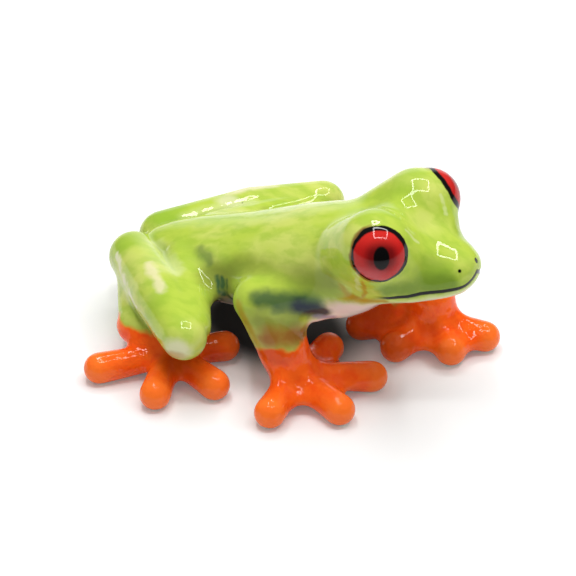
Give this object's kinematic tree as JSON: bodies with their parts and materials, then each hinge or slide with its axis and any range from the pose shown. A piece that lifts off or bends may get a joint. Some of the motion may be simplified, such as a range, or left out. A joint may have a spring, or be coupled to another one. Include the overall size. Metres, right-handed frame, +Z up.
{
  "type": "tree frog figurine",
  "caption": "Sitting tree frog figurine in glazed porcelain, crouched on splayed orange feet with its head raised.",
  "frame": {"origin": "on the shelf, under the middle of the figurine's box", "axes": "+X is the way the frog looks, +Y its left, +Z up"},
  "size_m": [0.0373, 0.0342, 0.0198],
  "materials": {
    "green_glaze": "lime green underglaze with brush mottling under clear gloss glaze",
    "orange_glaze": "orange underglaze under clear gloss glaze, bare edge at the sole",
    "red_glaze": "red underglaze with black pupil and outline under clear gloss glaze"
  },
  "bodies": {
    "root": {"trunk": "green_glaze", "right_eye": "red_glaze", "left_eye": "red_glaze", "right_thigh": "green_glaze", "left_thigh": "green_glaze", "right_shank": "green_glaze", "left_shank": "green_glaze", "right_tarsus": "green_glaze", "left_tarsus": "green_glaze", "right_hind_foot": "orange_glaze", "left_hind_foot": "orange_glaze", "right_foreleg": "green_glaze", "left_foreleg": "green_glaze", "right_forefoot": "orange_glaze", "left_forefoot": "orange_glaze"}
  },
  "joints": []
}
